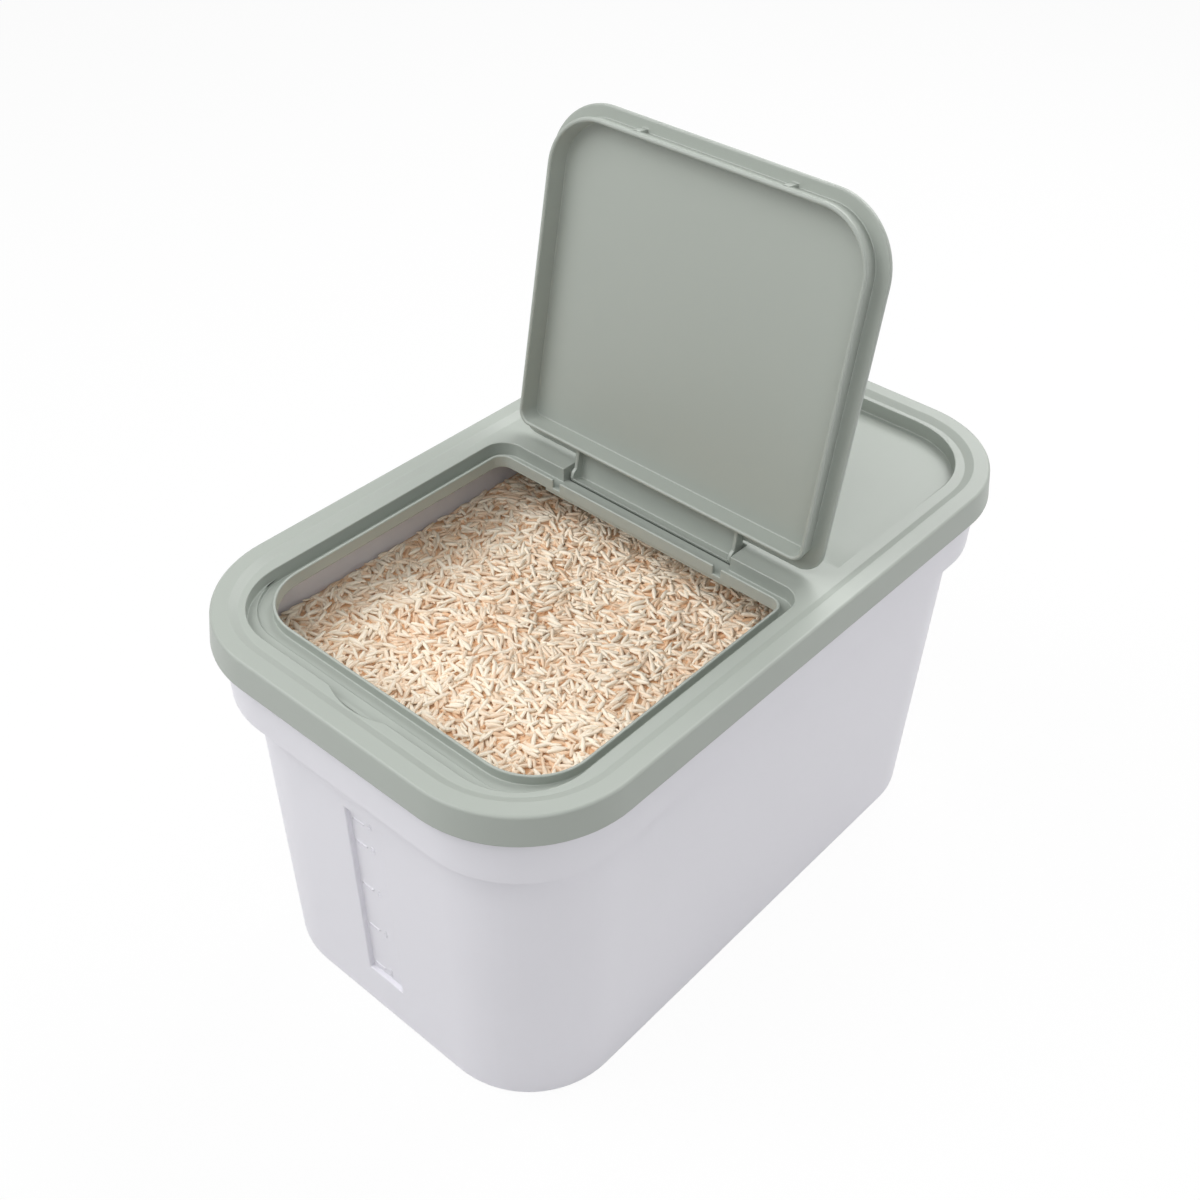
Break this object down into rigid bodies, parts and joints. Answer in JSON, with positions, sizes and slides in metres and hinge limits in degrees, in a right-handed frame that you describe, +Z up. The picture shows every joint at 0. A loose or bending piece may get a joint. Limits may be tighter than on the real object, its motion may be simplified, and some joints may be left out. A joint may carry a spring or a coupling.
{
  "type": "rice bin with flip lid",
  "caption": "Rectangular rice storage bin with rounded corners, a lift-off cover with a sunken rear tray, and a hinged flip lid over the mouth, filled with rice.",
  "frame": {"origin": "centre of the box's bottom face, on the surface the tub stands on", "axes": "+Z up, X across the short width, Y along the long axis with the level window on the -Y end and the sunken tray at the +Y end"},
  "size_m": [0.2424, 0.4, 0.4063],
  "materials": {
    "tub_white": "satin",
    "rice": "matte",
    "cover_sage": "satin",
    "lid_sage": "satin"
  },
  "bodies": {
    "tub": {"tub": "tub_white", "rice": "rice"},
    "cover": {"cover": "cover_sage"},
    "flip_lid": {"flip_lid": "lid_sage"}
  },
  "joints": [
    {"name": "cover_lift", "type": "slide", "parent": "tub", "child": "cover", "axis": [0, 0, 1], "range_m": [0, 0.06]},
    {"name": "flip_hinge", "type": "hinge", "parent": "cover", "child": "flip_lid", "pos_m": [0, 0.0218, 0.2193], "axis": [1, 0, 0], "range_deg": [0, 99.7]}
  ]
}
